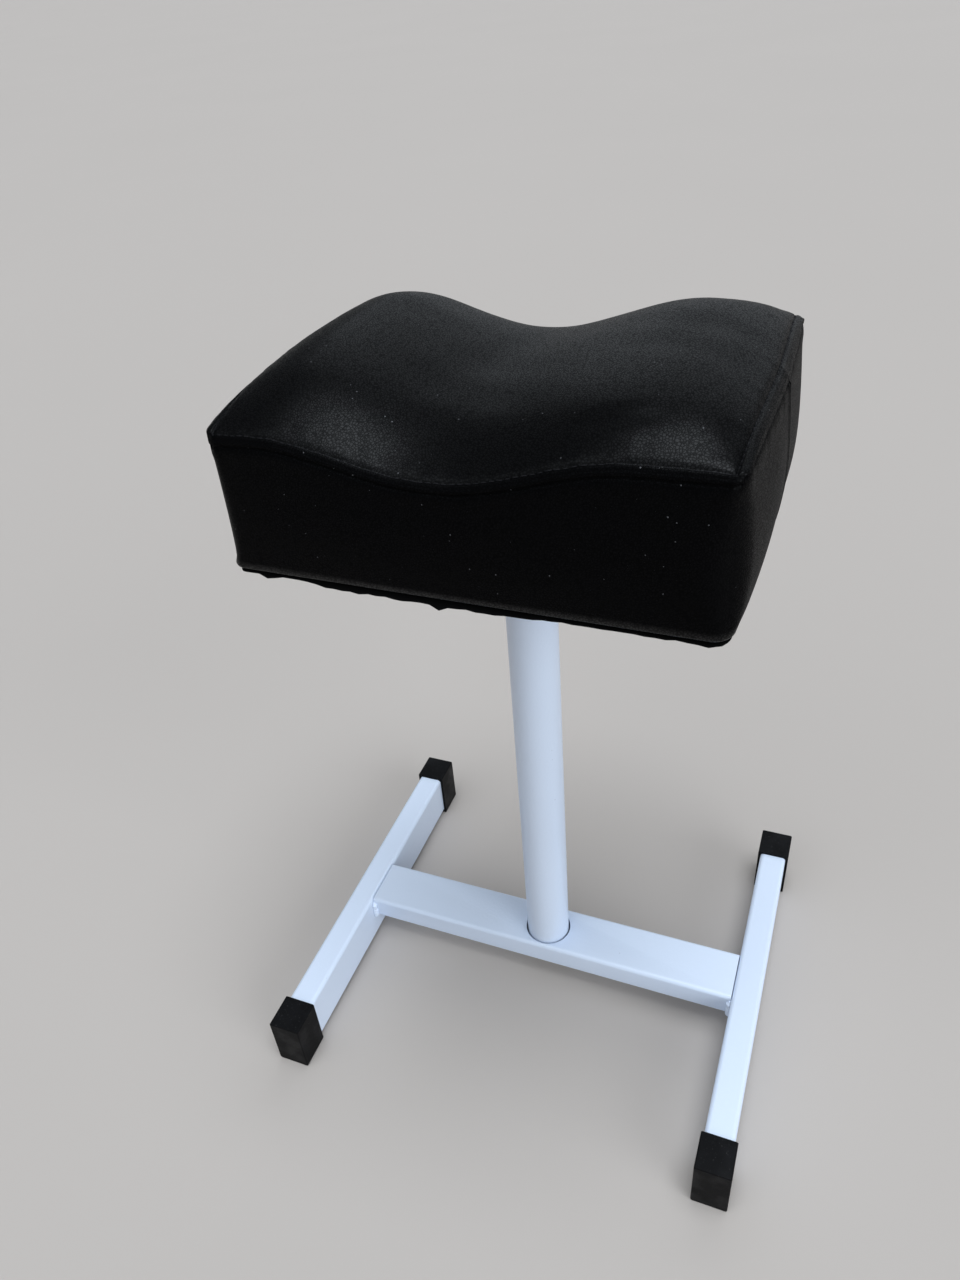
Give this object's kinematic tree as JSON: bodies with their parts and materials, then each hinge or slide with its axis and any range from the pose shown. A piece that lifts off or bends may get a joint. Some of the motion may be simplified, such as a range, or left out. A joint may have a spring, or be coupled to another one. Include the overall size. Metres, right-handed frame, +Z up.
{
  "type": "pedicure footrest",
  "caption": "Saddle-shaped padded footrest on a round post that turns in an H-shaped base of rectangular tube with plastic end caps.",
  "frame": {"origin": "on the floor under the post's axis, which is the bottom centre of the whole part", "axes": "+Z up along the post, +X along the crossbar to the right seen from the front, -Y to the front"},
  "size_m": [0.336, 0.296, 0.5186],
  "materials": {
    "white_powder_coat": "satin",
    "black_cap_plastic": "matte",
    "black_vinyl": "satin",
    "black_lining": "matte",
    "pad_foam": "matte",
    "plywood": "matte",
    "zinc_plated_steel": "satin",
    "white_nylon": "matte"
  },
  "bodies": {
    "base": {"left_leg": "white_powder_coat", "right_leg": "white_powder_coat", "crossbar": "white_powder_coat", "left_weld_bead": "white_powder_coat", "right_weld_bead": "white_powder_coat", "front_left_cap": "black_cap_plastic", "front_right_cap": "black_cap_plastic", "rear_left_cap": "black_cap_plastic", "rear_right_cap": "black_cap_plastic", "slip_washer": "white_nylon"},
    "post_and_pad": {"post_tube": "white_powder_coat", "post_plug": "zinc_plated_steel", "pivot_bolt": "zinc_plated_steel", "pivot_spring_washer": "zinc_plated_steel", "pivot_flat_washer": "zinc_plated_steel", "top_plate": "white_powder_coat", "top_plate_weld": "white_powder_coat", "plate_screw_front_left": "zinc_plated_steel", "plate_screw_front_right": "zinc_plated_steel", "plate_screw_rear_left": "zinc_plated_steel", "plate_screw_rear_right": "zinc_plated_steel", "plate_washer_front_left": "zinc_plated_steel", "plate_washer_front_right": "zinc_plated_steel", "plate_washer_rear_left": "zinc_plated_steel", "plate_washer_rear_right": "zinc_plated_steel", "tee_nut_front_left": "zinc_plated_steel", "tee_nut_front_right": "zinc_plated_steel", "tee_nut_rear_left": "zinc_plated_steel", "tee_nut_rear_right": "zinc_plated_steel", "base_board": "plywood", "foam_block": "pad_foam", "cover_top_panel": "black_vinyl", "cover_side_band": "black_vinyl", "underside_lining": "black_lining", "staple_01": "zinc_plated_steel", "staple_02": "zinc_plated_steel", "staple_03": "zinc_plated_steel", "staple_04": "zinc_plated_steel", "staple_05": "zinc_plated_steel", "staple_06": "zinc_plated_steel", "staple_07": "zinc_plated_steel", "staple_08": "zinc_plated_steel", "staple_09": "zinc_plated_steel", "staple_10": "zinc_plated_steel", "staple_11": "zinc_plated_steel", "staple_12": "zinc_plated_steel"}
  },
  "joints": [
    {"name": "post_swivel", "type": "hinge", "parent": "base", "child": "post_and_pad", "pos_m": [0, 0, 0.0235], "axis": [0, 0, 1], "continuous": true}
  ]
}
